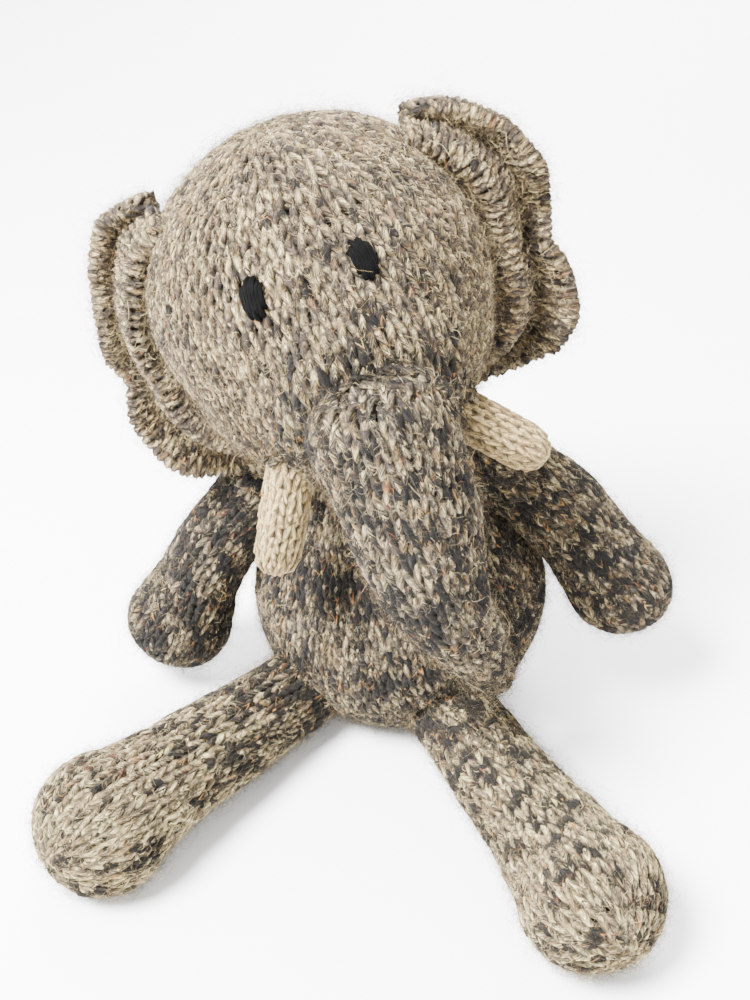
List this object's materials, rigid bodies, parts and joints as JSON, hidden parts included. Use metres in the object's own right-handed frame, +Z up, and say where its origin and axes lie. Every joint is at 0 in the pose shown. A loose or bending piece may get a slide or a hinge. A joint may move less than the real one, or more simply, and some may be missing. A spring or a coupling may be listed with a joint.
{
  "type": "knitted toy elephant",
  "caption": "Hand-knitted tweed elephant sitting on a flat base, with a bending trunk, cream tusks, ruffled ears and sewn-on movable arms and legs.",
  "frame": {"origin": "centre of the flat seat base, on the floor", "axes": "+Z up, -Y the way the elephant faces, +X to its own left"},
  "size_m": [0.205, 0.187, 0.2181],
  "materials": {
    "head_tweed_yarn": "matte",
    "dark_tweed_yarn": "matte",
    "cream_tweed_yarn": "matte",
    "tusk_yarn": "matte",
    "eye_yarn": "matte",
    "stuffing": "matte"
  },
  "bodies": {
    "torso": {"torso_skin": "dark_tweed_yarn", "torso_stuffing": "stuffing"},
    "neck_ring": {"neck_seam": "dark_tweed_yarn"},
    "head": {"head_skin": "head_tweed_yarn", "head_stuffing": "stuffing", "left_eye": "eye_yarn", "right_eye": "eye_yarn", "left_ear_seam": "head_tweed_yarn", "right_ear_seam": "head_tweed_yarn", "trunk_seam": "dark_tweed_yarn", "left_tusk_seam": "tusk_yarn", "right_tusk_seam": "tusk_yarn"},
    "left_ear": {"left_ear": "head_tweed_yarn"},
    "right_ear": {"right_ear": "head_tweed_yarn"},
    "trunk_base": {"trunk_base_skin": "dark_tweed_yarn", "trunk_base_stuffing": "stuffing"},
    "trunk_tip": {"trunk_tip_skin": "dark_tweed_yarn", "trunk_tip_stuffing": "stuffing"},
    "left_tusk": {"left_tusk_skin": "tusk_yarn", "left_tusk_stuffing": "stuffing"},
    "left_shoulder_ring": {"left_shoulder_seam": "dark_tweed_yarn"},
    "left_arm": {"left_arm_skin": "dark_tweed_yarn", "left_arm_stuffing": "stuffing"},
    "left_hip_ring": {"left_hip_seam": "cream_tweed_yarn"},
    "left_leg": {"left_leg_skin": "cream_tweed_yarn", "left_leg_stuffing": "stuffing"},
    "right_tusk": {"right_tusk_skin": "tusk_yarn", "right_tusk_stuffing": "stuffing"},
    "right_shoulder_ring": {"right_shoulder_seam": "dark_tweed_yarn"},
    "right_arm": {"right_arm_skin": "dark_tweed_yarn", "right_arm_stuffing": "stuffing"},
    "right_hip_ring": {"right_hip_seam": "cream_tweed_yarn"},
    "right_leg": {"right_leg_skin": "cream_tweed_yarn", "right_leg_stuffing": "stuffing"}
  },
  "joints": [
    {"name": "neck_turn", "type": "hinge", "parent": "torso", "child": "neck_ring", "pos_m": [-0.00825, 0, 0.08915], "axis": [-0.2149, -0.1381, 0.9668], "range_deg": [-20, 20]},
    {"name": "neck_nod", "type": "hinge", "parent": "neck_ring", "child": "head", "pos_m": [-0.00825, 0, 0.08915], "axis": [0.9766, -0.0304, 0.2127], "range_deg": [-20, 0]},
    {"name": "trunk_lift", "type": "hinge", "parent": "head", "child": "trunk_base", "pos_m": [-0.00685, -0.06164, 0.14384], "axis": [0.9418, 0.1392, 0.306], "range_deg": [-45, 0]},
    {"name": "trunk_curl", "type": "hinge", "parent": "trunk_base", "child": "trunk_tip", "pos_m": [0.00618, -0.07366, 0.10577], "axis": [0.9418, 0.1392, 0.306], "range_deg": [-25, 0]},
    {"name": "left_ear_flap", "type": "hinge", "parent": "head", "child": "left_ear", "pos_m": [0.02588, 0.00292, 0.18131], "axis": [-0.309, 0, 0.9511], "range_deg": [-20, 20]},
    {"name": "right_ear_flap", "type": "hinge", "parent": "head", "child": "right_ear", "pos_m": [-0.0796, -0.01267, 0.14704], "axis": [-0.309, 0, 0.9511], "range_deg": [-20, 20]},
    {"name": "left_tusk_sway", "type": "hinge", "parent": "head", "child": "left_tusk", "pos_m": [0.01345, -0.03884, 0.13705], "axis": [-0.1723, -0.9835, -0.056], "range_deg": [-12, 12]},
    {"name": "right_tusk_sway", "type": "hinge", "parent": "head", "child": "right_tusk", "pos_m": [-0.03353, -0.04578, 0.12179], "axis": [-0.4234, 0.8954, -0.1376], "range_deg": [-12, 12]},
    {"name": "left_arm_swing", "type": "hinge", "parent": "torso", "child": "left_shoulder_ring", "pos_m": [0.02966, 0, 0.09651], "axis": [0.4637, 0, 0.886], "range_deg": [-12, 30]},
    {"name": "left_arm_raise", "type": "hinge", "parent": "left_shoulder_ring", "child": "left_arm", "pos_m": [0.02966, 0, 0.09651], "axis": [-0.1767, -0.9799, 0.0925], "range_deg": [0, 45]},
    {"name": "right_arm_swing", "type": "hinge", "parent": "torso", "child": "right_shoulder_ring", "pos_m": [-0.0465, 0, 0.08377], "axis": [-0.7269, 0, 0.6867], "range_deg": [-30, 12]},
    {"name": "right_arm_raise", "type": "hinge", "parent": "right_shoulder_ring", "child": "right_arm", "pos_m": [-0.0465, 0, 0.08377], "axis": [-0.0428, 0.9981, -0.0453], "range_deg": [0, 45]},
    {"name": "left_leg_spread", "type": "hinge", "parent": "torso", "child": "left_hip_ring", "pos_m": [0.0185, -0.04357, 0.016], "axis": [0, 0, 1], "range_deg": [-15, 15]},
    {"name": "left_leg_lift", "type": "hinge", "parent": "left_hip_ring", "child": "left_leg", "pos_m": [0.0185, -0.04357, 0.016], "axis": [-0.9063, -0.4226, 0], "range_deg": [-10, 20]},
    {"name": "right_leg_spread", "type": "hinge", "parent": "torso", "child": "right_hip_ring", "pos_m": [-0.03572, -0.03105, 0.016], "axis": [0, 0, 1], "range_deg": [-15, 15]},
    {"name": "right_leg_lift", "type": "hinge", "parent": "right_hip_ring", "child": "right_leg", "pos_m": [-0.03572, -0.03105, 0.016], "axis": [-0.7314, 0.682, 0], "range_deg": [-10, 20]}
  ]
}
